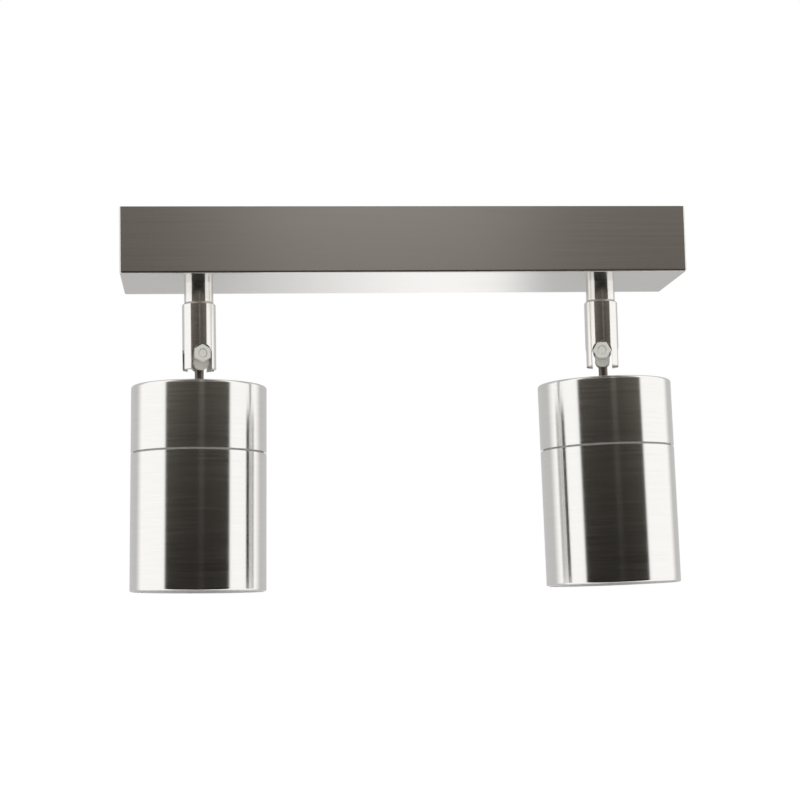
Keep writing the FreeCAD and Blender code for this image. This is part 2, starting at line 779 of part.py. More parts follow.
def pivot_fork(side, place):
    """Plug pressed into the tube, with two round-ended cheeks for the pivot."""
    body = new_body()
    plug = new_sketch(body, "XY_Plane", EYE_TOP)
    circle(plug, ARM_BORE + "-running_clearance")
    pad(body, plug, "fork_plug_length")
    cheeks = new_sketch(body, "XZ_Plane")
    round_ended(cheeks, "fork_cheek_width/2",
                ARM_END + "-fork_overhang+fork_cheek_width/2", EYE_TOP + "+fork_plug_length/2")
    pad(body, cheeks, "2*fork_cheek_face", midplane=True)
    slot = new_sketch(body, "YZ_Plane")
    rectangle(slot, "-" + SLOT_HALF, SLOT_HALF, ARM_END + "-fork_overhang-1", EYE_TOP)
    cut_through(body, slot)
    bore = new_sketch(body, "XY_Plane", EYE_TOP)
    circle(bore, "fork_bore_radius")
    cut_through(body, bore)
    bolt_hole = new_sketch(body, "XZ_Plane")
    circle(bolt_hole, "pivot_bolt_radius+running_clearance")
    cut_through(body, bolt_hole)
    node(body, side + "_pivot_fork", place)


def bevel_corners(body, across, face, outward):
    """Takes the sharp corners off one face of a hexagon on the Y axis."""
    sketch = new_sketch(body, "XY_Plane")
    flat = "(%s)/2" % across
    corner = "(%s)/sqrt(3)+1" % across
    rise = "(%s-%s)*tan(30)" % (corner, flat)
    inner = "%s%s%s" % (face, "-" if outward > 0 else "+", rise)
    polygon(sketch, [(flat, face), (corner, face), (corner, inner)])
    groove = body.newObject("PartDesign::Groove", "Bevel")
    groove.Profile = sketch
    groove.ReferenceAxis = (sketch, ["V_Axis"])
    groove.Angle = 360.0
    doc.recompute()


def pivot_hardware(side, place, point_up):
    """Bolt along the depth of the arm, its front nut and two friction washers."""
    bolt = new_body()
    shank = new_sketch(bolt, "XZ_Plane", "-fork_cheek_face")
    circle(shank, "pivot_bolt_radius")
    pad(bolt, shank, "2*fork_cheek_face+pivot_nut_thickness-bolt_end_recess")
    head = new_sketch(bolt, "XZ_Plane", "-(fork_cheek_face+pivot_head_height)")
    polygon(head, hexagon("pivot_nut_across", point_up))
    pad(bolt, head, "pivot_head_height")
    bevel_corners(bolt, "pivot_nut_across", "fork_cheek_face+pivot_head_height", 1)
    node(bolt, side + "_pivot_bolt", place)
    nut = new_body()
    outline = new_sketch(nut, "XZ_Plane", "fork_cheek_face")
    polygon(outline, hexagon("pivot_nut_across", point_up))
    pad(nut, outline, "pivot_nut_thickness")
    hole = new_sketch(nut, "XZ_Plane")
    circle(hole, "pivot_bolt_radius+running_clearance")
    cut_through(nut, hole)
    bevel_corners(nut, "pivot_nut_across", "-(fork_cheek_face+pivot_nut_thickness)", -1)
    node(nut, side + "_pivot_nut", place)
    inner = "(" + EYE_HALF + "+pivot_washer_gap)"
    outer = "-(" + EYE_HALF + "+pivot_washer_gap+pivot_washer_thickness)"
    washers = [ring("eye_radius", "pivot_bolt_radius+running_clearance", "pivot_washer_thickness",
                    ("0", start, "0"), Y_AXIS) for start in (inner, outer)]
    node(group(washers), side + "_pivot_washers", place)


def arm_leads(side, place):
    """The two leads between the hollow stud and the fork."""
    half = value("lead_spacing/2")
    top = value(NIPPLE_LOW + "-lead_joint_gap-(%s)" % PIVOT_Z)
    low = value(EYE_TOP) + value("eye_clearance")
    routes = [[FreeCAD.Vector(sign * half, 0, top), FreeCAD.Vector(sign * half, 0, low)]
              for sign in (-1, 1)]
    leads(routes, side + "_arm_leads", place)


# ---------------------------------------------------------------- head, in the same frame, tilted
def tilt_stem(side, place):
    """Eye on the pivot bolt and the hollow stem below it, which carries the head."""
    body = new_body()
    eye = new_sketch(body, "XZ_Plane")
    circle(eye, "eye_radius")
    pad(body, eye, "2*" + EYE_HALF, midplane=True)
    flange_top = CAP_TOP + "+stem_flange_thickness"
    revolve(body, [
        ("0", "-stem_start"), ("stem_radius", "-stem_start"), ("stem_radius", flange_top),
        ("stem_flange_radius", flange_top), ("stem_flange_radius", CAP_TOP),
        ("stem_radius", CAP_TOP), ("stem_radius", STEM_END), ("0", STEM_END)])
    bolt_hole = new_sketch(body, "XZ_Plane")
    circle(bolt_hole, "pivot_bolt_radius+running_clearance")
    cut_through(body, bolt_hole)
    bore = new_sketch(body, "XY_Plane", STEM_END)
    circle(bore, "stem_bore_radius")
    cut_to(body, bore, "-(%s)-stem_bore_end" % STEM_END, reverse=True)
    port = new_sketch(body, "YZ_Plane")
    circle(port, "lead_port_radius", "0", PORT_Z)
    cut_through(body, port)
    node(body, side + "_tilt_stem", place)
    hole = "stem_radius+running_clearance"
    washer = ring("stem_washer_radius", hole, "stem_washer_thickness", ("0", "0", STEM_WASHER_LOW))
    node(washer, side + "_stem_washer", place)
    nut = cut(prism("stem_nut_across", "stem_nut_thickness", ("0", "0", STEM_NUT_LOW)),
              cylinder(hole, "stem_nut_thickness", ("0", "0", STEM_NUT_LOW)))
    node(nut, side + "_stem_nut", place)


def head_cap(side, place):
    """Turned cap with a closed top and a threaded neck for the sleeve."""
    body = new_body()
    hole = "stem_radius+running_clearance"
    neck_low = PARTING + "-neck_length"
    inside = NECK_RADIUS + "-neck_wall"
    revolve(body, [
        (hole, CAP_TOP), ("head_radius", CAP_TOP), ("head_radius", PARTING),
        (NECK_RADIUS, PARTING), (NECK_RADIUS, neck_low), (inside, neck_low),
        (inside, CAP_INSIDE), (hole, CAP_INSIDE)])
    round_edges(body, "cap_edge_radius", ring_edge("head_radius", CAP_TOP))
    node(body, side + "_head_cap", place)


def head_sleeve(side, place):
    """Tube that screws onto the cap's neck and surrounds the lamp."""
    body = new_body()
    bore = NECK_RADIUS + "+thread_clearance"
    revolve(body, [(bore, SLEEVE_TOP), ("head_radius", SLEEVE_TOP),
                   ("head_radius", SLEEVE_END), (bore, SLEEVE_END)])
    round_edges(body, "sleeve_edge_radius", ring_edge("head_radius", SLEEVE_END))
    node(body, side + "_head_sleeve", place)


def holder_bracket(side, place):
    """Bent strip clamped under the cap, with two feet that hold the lamp holder."""
    body = new_body()
    strip = new_sketch(body, "XZ_Plane")
    leg_in = "frame_leg_gap/2"
    leg_out = "(frame_leg_gap/2+frame_strip_thickness)"
    foot_in = "(frame_leg_gap/2+frame_strip_thickness-frame_foot_length)"
    foot_top = HOLDER_TOP + "+frame_strip_thickness"
    web_low = CAP_INSIDE + "-frame_strip_thickness"
    polygon(strip, [
        ("-" + leg_out, CAP_INSIDE), (leg_out, CAP_INSIDE), (leg_out, HOLDER_TOP),
        (foot_in, HOLDER_TOP), (foot_in, foot_top), (leg_in, foot_top), (leg_in, web_low),
        ("-" + leg_in, web_low), ("-" + leg_in, foot_top), ("-" + foot_in, foot_top),
        ("-" + foot_in, HOLDER_TOP), ("-" + leg_out, HOLDER_TOP)])
    pad(body, strip, "frame_strip_width", midplane=True)
    centre_hole = new_sketch(body, "XY_Plane")
    circle(centre_hole, "stem_radius+running_clearance")
    cut_through(body, centre_hole)
    foot_holes = new_sketch(body, "XY_Plane", foot_top)
    for sign in ("-", ""):
        circle(foot_holes, "holder_screw_radius+screw_hole_clearance",
               sign + "holder_screw_spacing/2")
    cut_to(body, foot_holes, "2*frame_strip_thickness")
    node(body, side + "_holder_bracket", place)


def lamp_holder(side, place):
    """Ceramic holder with two pin sockets, contacts and fixing screws."""
    sockets = []
    contacts = []
    screws = []
    socket_depth = "pin_length+contact_thickness"
    for sign in ("-", ""):
        across = sign + "pin_spacing/2"
        sockets.append(cylinder("pin_head_radius+pin_bore_clearance", socket_depth,
                                (across, "0", PIN_PLANE)))
        sockets.append(cylinder("lead_radius+lead_clearance", "holder_height",
                                (across, "0", PIN_PLANE)))
        contacts.append(cylinder("pin_head_radius+pin_bore_clearance-contact_inset",
                                 "contact_thickness", (across, "0", PIN_PLANE + "+pin_length")))
        across = sign + "holder_screw_spacing/2"
        hole_low = HOLDER_TOP + "-holder_screw_depth"
        head_low = HOLDER_TOP + "+frame_strip_thickness"
        sockets.append(cylinder("holder_screw_radius+running_clearance",
                                "holder_screw_depth", (across, "0", hole_low)))
        screws.append(joined([
            cylinder("holder_screw_head_radius", "holder_screw_head_height", (across, "0", head_low)),
            cylinder("holder_screw_radius", "holder_screw_depth+frame_strip_thickness",
                     (across, "0", hole_low))]))
    block = cylinder("holder_radius", "holder_height", ("0", "0", PIN_PLANE))
    node(cut(block, group(sockets)), side + "_lamp_holder", place)
    node(group(contacts), side + "_holder_contacts", place)
    node(group(screws), side + "_holder_screws", place)


def lamp(side, place):
    """Twist-lock reflector lamp: body, front lens and two headed pins."""
    body = new_body()
    recess = "(lamp_radius-lamp_rim_width)"
    seat = LAMP_FACE + "+lens_inset+lens_thickness"
    revolve(body, [
        ("0", seat), (recess, seat), (recess, LAMP_FACE), ("lamp_radius", LAMP_FACE),
        ("lamp_radius", LAMP_FACE + "+lamp_rim_height"),
        ("lamp_shoulder_radius", LAMP_FACE + "+lamp_shoulder_height"),
        ("lamp_neck_radius", LAMP_FACE + "+lamp_neck_height"),
        ("lamp_neck_radius", PIN_PLANE), ("0", PIN_PLANE)])
    node(body, side + "_lamp_body", place)
    lens = cylinder(recess + "-lens_clearance", "lens_thickness",
                    ("0", "0", LAMP_FACE + "+lens_inset"))
    node(group([lens]), side + "_lamp_lens", place)
    pins = []
    for sign in ("-", ""):
        across = sign + "pin_spacing/2"
        pins.append(joined([
            cylinder("pin_radius", "pin_length-pin_head_height", (across, "0", PIN_PLANE)),
            cylinder("pin_head_radius", "pin_head_height",
                     (across, "0", PIN_PLANE + "+pin_length-pin_head_height"))]))
    node(group(pins), side + "_lamp_pins", place)


def head_leads(side, place):
    """The two leads from the holder's contacts up into the hollow stem."""
    half = value("lead_spacing/2")
    contact_top = value(PIN_PLANE + "+pin_length+contact_thickness")
    rise = value(HOLDER_TOP + "+lead_gather")
    gather = value(STEM_END + "-lead_gather")
    routes = []
    for sign in (-1, 1):
        out = sign * value("pin_spacing/2")
        routes.append([
            FreeCAD.Vector(out, 0, contact_top), FreeCAD.Vector(out, 0, rise),
            FreeCAD.Vector(sign * half, 0, gather),
            FreeCAD.Vector(sign * half, 0, value(PORT_Z))])
    leads(routes, side + "_head_leads", place)


# ---------------------------------------------------------------- assembly
base_cover()
wall_bracket()
cover_screws()
cable_grommet()
terminal_block()
earth_point()
base_leads()
swivel_parts()
for side, facts in SIDES.items():
    pivot = FreeCAD.Vector(facts["sign"] * value("arm_spacing/2"), 0, value(PIVOT_Z))
    pan = FreeCAD.Rotation(Z_AXIS, facts["pan"])
    tilt = FreeCAD.Rotation(Y_AXIS, facts["tilt"])
    arm_place = FreeCAD.Placement(pivot, pan)
    head_place = FreeCAD.Placement(pivot, pan.multiply(tilt))
    arm_tube(side, arm_place)
    pivot_fork(side, arm_place)
    pivot_hardware(side, arm_place, facts["nut_point_up"])
    arm_leads(side, arm_place)
    tilt_stem(side, head_place)
    head_cap(side, head_place)
    head_sleeve(side, head_place)
    holder_bracket(side, head_place)
    lamp_holder(side, head_place)
    lamp(side, head_place)
    head_leads(side, head_place)

doc.recompute()
for item in doc.Objects:
    if "Invalid" in item.State or "Error" in item.State:
        raise ValueError("%s (%s) failed: %s" % (item.Name, item.Label, item.State))
for piece in NODES:
    if piece.Shape.isNull() or not piece.Shape.isValid():
        raise ValueError("%s has no valid shape" % piece.Label)

os.makedirs("parts", exist_ok=True)
for piece in NODES:
    piece.Shape.exportStep("parts/%s.step" % piece.Label)
    print("%-24s %2d solids %10.1f mm3" % (piece.Label, len(piece.Shape.Solids), piece.Shape.Volume))
print(len(NODES), "nodes")
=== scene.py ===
import json
import math

import bmesh
import bpy
from mathutils import Matrix, Vector


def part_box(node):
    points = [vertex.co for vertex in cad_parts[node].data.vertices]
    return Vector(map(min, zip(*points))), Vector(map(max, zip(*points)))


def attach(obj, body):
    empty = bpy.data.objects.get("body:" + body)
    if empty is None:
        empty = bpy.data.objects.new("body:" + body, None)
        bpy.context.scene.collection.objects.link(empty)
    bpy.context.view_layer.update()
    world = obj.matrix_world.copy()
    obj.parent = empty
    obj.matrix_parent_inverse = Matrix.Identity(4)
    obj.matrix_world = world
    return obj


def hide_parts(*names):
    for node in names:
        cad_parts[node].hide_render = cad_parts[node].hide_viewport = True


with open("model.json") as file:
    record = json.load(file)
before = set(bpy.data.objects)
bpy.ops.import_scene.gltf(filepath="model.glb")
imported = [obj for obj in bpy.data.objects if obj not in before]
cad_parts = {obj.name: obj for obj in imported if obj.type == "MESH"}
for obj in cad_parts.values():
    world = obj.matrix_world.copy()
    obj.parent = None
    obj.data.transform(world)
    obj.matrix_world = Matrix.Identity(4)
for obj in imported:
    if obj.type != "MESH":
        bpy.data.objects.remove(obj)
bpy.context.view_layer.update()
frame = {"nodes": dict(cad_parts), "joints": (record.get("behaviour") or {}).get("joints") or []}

# ---------------------------------------------------------------------------------------
# Camera: just below the mouths of the heads and a little to the left of the middle, about
# 0.9 m away, looking slightly upwards, so that the underside of the wall base just shows.
# ---------------------------------------------------------------------------------------
CAMERA_PLACE = Vector((-0.08723, -0.89569, -0.1853))
CAMERA_YAW = 0.0953                                 # in radians, as are the pitch and the roll
CAMERA_PITCH = 0.1136
CAMERA_ROLL = -0.0207
LENS_MM = 90.85
SENSOR_MM = 36.0

ahead = Vector((math.sin(CAMERA_YAW) * math.cos(CAMERA_PITCH),
                math.cos(CAMERA_YAW) * math.cos(CAMERA_PITCH), math.sin(CAMERA_PITCH)))
level_right = Vector((math.cos(CAMERA_YAW), -math.sin(CAMERA_YAW), 0.0))
level_up = level_right.cross(ahead)
tilted_right = math.cos(CAMERA_ROLL) * level_right + math.sin(CAMERA_ROLL) * level_up
tilted_up = math.cos(CAMERA_ROLL) * level_up - math.sin(CAMERA_ROLL) * level_right

camera_data = bpy.data.cameras.new("camera")
camera_data.lens = LENS_MM
camera_data.sensor_width = SENSOR_MM
camera = bpy.data.objects.new("camera", camera_data)
bpy.context.scene.collection.objects.link(camera)
camera.matrix_world = (Matrix.Translation(CAMERA_PLACE)
                       @ Matrix((tilted_right, tilted_up, -ahead)).transposed().to_4x4())
bpy.context.scene.camera = camera
bpy.context.scene.view_settings.view_transform = "Standard"

# ---------------------------------------------------------------------------------------
# Studio: a white room whose end behind the camera is dark near the horizon and gets
# lighter upwards, and whose far end is light grey with one white window. Polished steel
# shows those as its dark core, its white flanks and its grey edges.
# ---------------------------------------------------------------------------------------
FLOOR_Z = -0.45
FLOOR_SIZE = 12.0
FLOOR_COLOURS = ("f4f4f4", "f1f1f1")
FLOOR_PATCHES = 40.0                                # cloudy patches of the paper, to the metre
FLOOR_GLOW = 0.34                                   # what brings the lit floor up to white
ROOM_LIGHT = 0.78                                   # how brightly the room lights plain matter
DARK_END_CENTRE = math.radians(-2.0)                # azimuth from -Y towards +X
DARK_END_HALF = math.radians(55.5)
DARK_END_BLUR = math.radians(2.0)
DARK_END_WARMTH = "fff2df"
# Brightness by height in degrees: the floor and the wall of the dark end, then its lit upper part.
DARK_END_LEVELS = ((-90, 0.1), (-20, 0.016), (2, 0.015), (6, 0.036), (9, 0.1), (11, 0.19), (14, 0.52),
                   (23, 0.56), (45, 0.16), (90, 0.14))
# Brightness by azimuth in degrees, low down and high up: a doorway a little right of the middle,
# with a lit fanlight over it, and lighter walls at the sides. Both reach DARK_END_SPAN each way.
DARK_END_SPAN = 60
DARK_END_LOW = ((-57, 1.3), (-30, 0.88), (-6, 0.8), (-0.5, 0.8), (2, 0.98), (9, 0.98), (11, 0.76),
                (17, 0.8), (32, 1.0), (54, 1.4))
DARK_END_HIGH = ((-57, 1.0), (-20, 0.6), (-3, 0.5), (-0.8, 0.55), (2.2, 1.12), (8.8, 1.12), (10.4, 0.6),
                 (17, 0.62), (54, 1.0))
HIGH_UP = (math.radians(6.5), math.radians(10.5))
# Brightness by azimuth of the rest of the room: its grey far end, with one white window, and its sides.
ROOM_WALLS = ((-180, 0.6), (-127, 0.6), (-112, 1.15), (112, 1.15), (127, 0.6), (170.4, 0.6), (171.6, 1.28),
              (173.6, 1.28), (179.7, 0.62), (180, 0.6))
WHITE = (1.0, 1.0, 1.0, 1.0)


def tint(hex_code):
    """The linear colour of an sRGB hex code."""
    channels = [int(hex_code[i:i + 2], 16) / 255.0 for i in (0, 2, 4)]
    return tuple(c / 12.92 if c <= 0.04045 else ((c + 0.055) / 1.055) ** 2.4 for c in channels) + (1.0,)


def add(tree, kind, inputs=None, **settings):
    """Adds a node with its settings, and fills its inputs from values, sockets or nodes."""
    node = tree.nodes.new(kind)
    for name, value in settings.items():
        setattr(node, name, value)
    for key, value in (inputs or {}).items():
        if isinstance(value, bpy.types.Node):
            value = next(socket for socket in value.outputs if socket.enabled)
        if isinstance(value, bpy.types.NodeSocket):
            tree.links.new(value, node.inputs[key])
        else:
            node.inputs[key].default_value = value
    return node


world = bpy.data.worlds.new("studio")
world.use_nodes = True
bpy.context.scene.world = world
room = world.node_tree
room.nodes.clear()
direction = add(room, "ShaderNodeSeparateXYZ", {0: add(room, "ShaderNodeTexCoord").outputs["Generated"]})
towards_camera = add(room, "ShaderNodeMath", {0: direction.outputs["Y"], 1: -1.0}, operation="MULTIPLY")
azimuth = add(room, "ShaderNodeMath", {0: direction.outputs["X"], 1: towards_camera}, operation="ARCTAN2")
elevation = add(room, "ShaderNodeMath", {0: direction.outputs["Z"]}, operation="ARCSINE")
off_centre = add(room, "ShaderNodeMath", {0: azimuth, 1: DARK_END_CENTRE}, operation="SUBTRACT")
off_centre = add(room, "ShaderNodeMath", {0: off_centre}, operation="ABSOLUTE")
beside_dark_end = add(room, "ShaderNodeMapRange", {
    "Value": off_centre, "From Min": DARK_END_HALF - DARK_END_BLUR,
    "From Max": DARK_END_HALF + DARK_END_BLUR}, interpolation_type="SMOOTHSTEP")


def by_degrees(value, low, high, levels):
    """A ramp over an angle: pairs of degrees and brightness, with a gain for levels over 1."""
    share = add(room, "ShaderNodeMapRange", {"Value": value, "From Min": math.radians(low),
                                             "From Max": math.radians(high)})
    ramp = add(room, "ShaderNodeValToRGB", {0: share})
    gain = max(level for _, level in levels)
    while len(ramp.color_ramp.elements) < len(levels):
        ramp.color_ramp.elements.new(0.5)
    for stop, (degrees, _) in zip(ramp.color_ramp.elements, levels):
        stop.position = (degrees - low) / (high - low)
    for stop, (_, level) in zip(ramp.color_ramp.elements, levels):
        stop.color = (level / gain,) * 3 + (1.0,)
    return add(room, "ShaderNodeMath", {0: ramp, 1: gain}, operation="MULTIPLY")


high_up = add(room, "ShaderNodeMapRange", {
    "Value": elevation, "From Min": HIGH_UP[0], "From Max": HIGH_UP[1]})
dark_walls = add(room, "ShaderNodeMix", {
    0: high_up, 2: by_degrees(azimuth, -DARK_END_SPAN, DARK_END_SPAN, DARK_END_LOW),
    3: by_degrees(azimuth, -DARK_END_SPAN, DARK_END_SPAN, DARK_END_HIGH)})
dark_level = add(room, "ShaderNodeMath", {0: by_degrees(elevation, -90, 90, DARK_END_LEVELS), 1: dark_walls},
                 operation="MULTIPLY")
warmth = add(room, "ShaderNodeMix", {0: dark_level, 6: tint(DARK_END_WARMTH), 7: WHITE}, data_type="RGBA")
dark_end = add(room, "ShaderNodeVectorMath", {0: warmth, 1: dark_level}, operation="MULTIPLY")
walls = by_degrees(azimuth, -180, 180, ROOM_WALLS)
mirrored_room = add(room, "ShaderNodeMix", {0: beside_dark_end, 6: dark_end, 7: walls}, data_type="RGBA")
rays = add(room, "ShaderNodeLightPath")
plain_room = add(room, "ShaderNodeMix", {0: rays.outputs["Is Camera Ray"], 6: (ROOM_LIGHT,) * 3 + (1.0,),
                                         7: WHITE}, data_type="RGBA")
plain_room = add(room, "ShaderNodeMix", {0: rays.outputs["Is Transmission Ray"], 6: plain_room, 7: WHITE},
                 data_type="RGBA")
shown_room = add(room, "ShaderNodeMix", {0: rays.outputs["Is Glossy Ray"], 6: plain_room, 7: mirrored_room},
                 data_type="RGBA")
background = add(room, "ShaderNodeBackground", {"Color": shown_room, "Strength": 1.0})
add(room, "ShaderNodeOutputWorld", {"Surface": background})


def new_finish(name, constants):
    """Starts a material from its shader's constants."""
    material = bpy.data.materials.new(name)
    material.use_nodes = True
    shader = material.node_tree.nodes["Principled BSDF"]
    for socket, value in constants.items():
        shader.inputs[socket].default_value = value
    return material, material.node_tree, shader


# Studio floor: matt white paper; the camera sees it lifted to white, shadow kept, and through it
# from below.
floor_paper, paper, paper_shader = new_finish("matt_white_paper", {"Roughness": 0.95, "IOR": 1.5})
fibre = add(paper, "ShaderNodeTexNoise", {"Vector": add(paper, "ShaderNodeTexCoord").outputs["Object"],
                                          "Scale": FLOOR_PATCHES})
paper_tone = add(paper, "ShaderNodeMix", {
    0: fibre.outputs[0], 6: tint(FLOOR_COLOURS[0]), 7: tint(FLOOR_COLOURS[1])}, data_type="RGBA")
paper.links.new(paper_tone.outputs[2], paper_shader.inputs["Base Color"])
seen = add(paper, "ShaderNodeLightPath")
glow = add(paper, "ShaderNodeEmission", {"Color": WHITE, "Strength": FLOOR_GLOW})
lifted = add(paper, "ShaderNodeAddShader", {0: paper_shader, 1: glow})
chosen = add(paper, "ShaderNodeMixShader", {0: seen.outputs["Is Camera Ray"], 1: paper_shader, 2: lifted})
from_below = add(paper, "ShaderNodeNewGeometry").outputs["Backfacing"]
chosen = add(paper, "ShaderNodeMixShader", {0: from_below, 1: chosen,
                                            2: add(paper, "ShaderNodeBsdfTransparent")})
paper.links.new(chosen.outputs[0], paper.nodes["Material Output"].inputs["Surface"])

floor_mesh = bpy.data.meshes.new("studio_floor")
half = FLOOR_SIZE / 2
floor_mesh.from_pydata([(-half, -half, FLOOR_Z), (half, -half, FLOOR_Z), (half, half, FLOOR_Z),
                        (-half, half, FLOOR_Z)], [], [(0, 1, 2, 3)])
floor_mesh.materials.append(floor_paper)
floor = bpy.data.objects.new("studio_floor", floor_mesh)
bpy.context.scene.collection.objects.link(floor)
floor.visible_glossy = False                        # the steel shows the room instead

# Soft box: a round diffuser high up in front on the left, aimed at the middle of the light.
SOFT_BOX_SIZE = 1.2
SOFT_BOX_WATTS = 9.0
SOFT_BOX_PLACE = Vector((-0.7, -1.1, 1.5))
SOFT_BOX_AIM = Vector((0.0, 0.0, -0.08))
soft_box = bpy.data.lights.new("soft_box", "AREA")
soft_box.shape = "DISK"
soft_box.size = SOFT_BOX_SIZE
soft_box.energy = SOFT_BOX_WATTS
soft_box_lamp = bpy.data.objects.new("soft_box", soft_box)
bpy.context.scene.collection.objects.link(soft_box_lamp)
soft_box_lamp.location = SOFT_BOX_PLACE
soft_box_lamp.rotation_euler = (SOFT_BOX_AIM - SOFT_BOX_PLACE).to_track_quat("-Z", "Y").to_euler()
soft_box_lamp.visible_glossy = False                # nor does the steel mirror the soft box

# ---------------------------------------------------------------------------------------
# Base cover: a long box of folded and welded stainless steel sheet, linished lengthwise.
# It hides the wall bracket and carries both arms on its underside.
# ---------------------------------------------------------------------------------------
MM = 0.001
LINISH_SPACING = 0.7 * MM      # the grit's real lines are near 0.1 mm, drawn coarser so that they show
LINISH_LENGTH = 70 * MM
LINISH_STRETCH = 0.9
END_FACING = 0.7               # a face is an end of the box when its normal has this much of X
NOISE_SPAN = (0.3, 0.7)        # where nearly all of a noise pattern lies


def dress(material, *nodes):
    """Gives CAD pieces their finish."""
    for node in nodes:
        frame["nodes"][node].material_slots[0].material = material


def wear(tree, shader, pattern, rough, bump_mm, tones):
    """Lets one pattern drive a surface's roughness, height and shade of colour."""
    roughness = add(tree, "ShaderNodeMapRange", {
        "Value": pattern, "From Min": NOISE_SPAN[0], "From Max": NOISE_SPAN[1],
        "To Min": rough[0], "To Max": rough[1]})
    height = add(tree, "ShaderNodeBump", {"Strength": 1.0, "Distance": bump_mm * MM, "Height": pattern})
    shade = add(tree, "ShaderNodeMix", {0: pattern, 6: tint(tones[0]), 7: tint(tones[1])}, data_type="RGBA")
    tree.links.new(roughness.outputs[0], shader.inputs["Roughness"])
    tree.links.new(height.outputs[0], shader.inputs["Normal"])
    tree.links.new(shade.outputs[2], shader.inputs["Base Color"])


def linished_steel():
    """Stainless steel linished along X: streaks of light stand square to the fine lines."""
    material, tree, shader = new_finish("linished_stainless_steel", {
        "Metallic": 1.0, "Anisotropic": LINISH_STRETCH})
    spot = add(tree, "ShaderNodeTexCoord")
    facing = add(tree, "ShaderNodeSeparateXYZ", {0: spot.outputs["Normal"]})
    endwards = add(tree, "ShaderNodeMath", {0: facing.outputs["X"]}, operation="ABSOLUTE")
    on_end = add(tree, "ShaderNodeMath", {0: endwards, 1: END_FACING}, operation="GREATER_THAN")
    place = add(tree, "ShaderNodeSeparateXYZ", {0: spot.outputs["Object"]})
    turned_place = add(tree, "ShaderNodeCombineXYZ", {
        0: place.outputs["Y"], 1: place.outputs["X"], 2: place.outputs["Z"]})
    along = add(tree, "ShaderNodeMix", {0: on_end, 4: spot.outputs["Object"], 5: turned_place},
                data_type="VECTOR")
    scaled = add(tree, "ShaderNodeMapping", {
        "Vector": along.outputs[1],
        "Scale": (1 / LINISH_LENGTH, 1 / LINISH_SPACING, 1 / LINISH_SPACING)})
    lines = add(tree, "ShaderNodeTexNoise", {"Vector": scaled, "Scale": 1.0, "Detail": 4.0, "Roughness": 0.6})
    wear(tree, shader, lines.outputs[0], rough=(0.17, 0.24), bump_mm=0.002, tones=("dcd9d5", "f2f0ed"))
    grain = add(tree, "ShaderNodeMix", {0: on_end, 4: (1.0, 0.0, 0.0), 5: (0.0, 1.0, 0.0)},
                data_type="VECTOR")
    across = add(tree, "ShaderNodeVectorMath", {0: spot.outputs["Normal"], 1: grain.outputs[1]},
                 operation="CROSS_PRODUCT")
    across = add(tree, "ShaderNodeVectorTransform", {0: across}, vector_type="VECTOR",
                 convert_from="OBJECT", convert_to="WORLD")
    tree.links.new(across.outputs[0], shader.inputs["Tangent"])
    return material


dress(linished_steel(), "base_cover")

# ---------------------------------------------------------------------------------------
# Wall bracket and the other pressed parts: zinc-plated mild steel, bright and faintly
# blue, with the soft cloudy spangle of the plating. The bracket is screwed to the wall.
# ---------------------------------------------------------------------------------------
SPANGLE = 4 * MM


def satin_metal(name, rough, tones):
    """A satin metal with soft cloudy patches, as plating and tumbling leave it."""
    material, tree, shader = new_finish(name, {"Metallic": 1.0})
    spot = add(tree, "ShaderNodeTexCoord")
    clouds = add(tree, "ShaderNodeTexNoise", {"Vector": spot.outputs["Object"], "Scale": 1 / SPANGLE,
                                              "Detail": 3.0})
    wear(tree, shader, clouds.outputs[0], rough=rough, bump_mm=0.01, tones=tones)
    return material


zinc = satin_metal("zinc_plated_steel", (0.3, 0.42), ("aeb4b8", "c9cdcf"))
dress(zinc, "wall_bracket", "left_holder_bracket", "right_holder_bracket", "left_stem_washer",
      "right_stem_washer")

# Small screws: the same plating on turned steel, a little brighter.
screw_zinc = satin_metal("bright_zinc_screw_steel", (0.2, 0.3), ("b4b6b6", "d2d2cf"))
dress(screw_zinc, "cover_screws", "earth_screw", "terminal_screws", "terminal_block_screws",
      "left_holder_screws", "right_holder_screws")

# ---------------------------------------------------------------------------------------
# Cable grommet: a ring of black moulded rubber, matt. It snaps into the bracket's cable
# hole and keeps the sheet's edge off the supply cable.
# ---------------------------------------------------------------------------------------
def moulded(name, constants, tones, grit_mm, rough, bump_mm):
    """A moulded surface: fine even grit in its gloss and height, tone nearly even."""
    material, tree, shader = new_finish(name, constants)
    spot = add(tree, "ShaderNodeTexCoord")
    grit = add(tree, "ShaderNodeTexNoise", {"Vector": spot.outputs["Object"], "Scale": 1 / (grit_mm * MM),
                                            "Detail": 3.0})
    wear(tree, shader, grit.outputs[0], rough=rough, bump_mm=bump_mm, tones=tones)
    return material


dress(moulded("black_rubber", {"IOR": 1.52}, ("1c1c1d", "28282a"), grit_mm=0.8, rough=(0.7, 0.85),
              bump_mm=0.02), "cable_grommet")

# ---------------------------------------------------------------------------------------
# Terminal block: three ways in milky nylon, each with a brass tube and its screws, screwed
# to the web of the bracket. The hollow studs that hold the arms, with their lock nuts and
# collars, are turned from the same brass.
# ---------------------------------------------------------------------------------------
SUBSURFACE_DEPTH = 2 * MM
dress(moulded("milky_nylon", {"IOR": 1.53, "Subsurface Weight": 0.15,
                              "Subsurface Radius": (SUBSURFACE_DEPTH,) * 3},
              ("e4e2db", "efede8"), grit_mm=0.6, rough=(0.38, 0.5), bump_mm=0.01), "terminal_block")
brass = satin_metal("turned_brass", (0.22, 0.34), ("b99a56", "cfb274"))
dress(brass, "terminal_tubes", "left_swivel_nipple", "right_swivel_nipple", "swivel_lock_nuts",
      "swivel_collars")

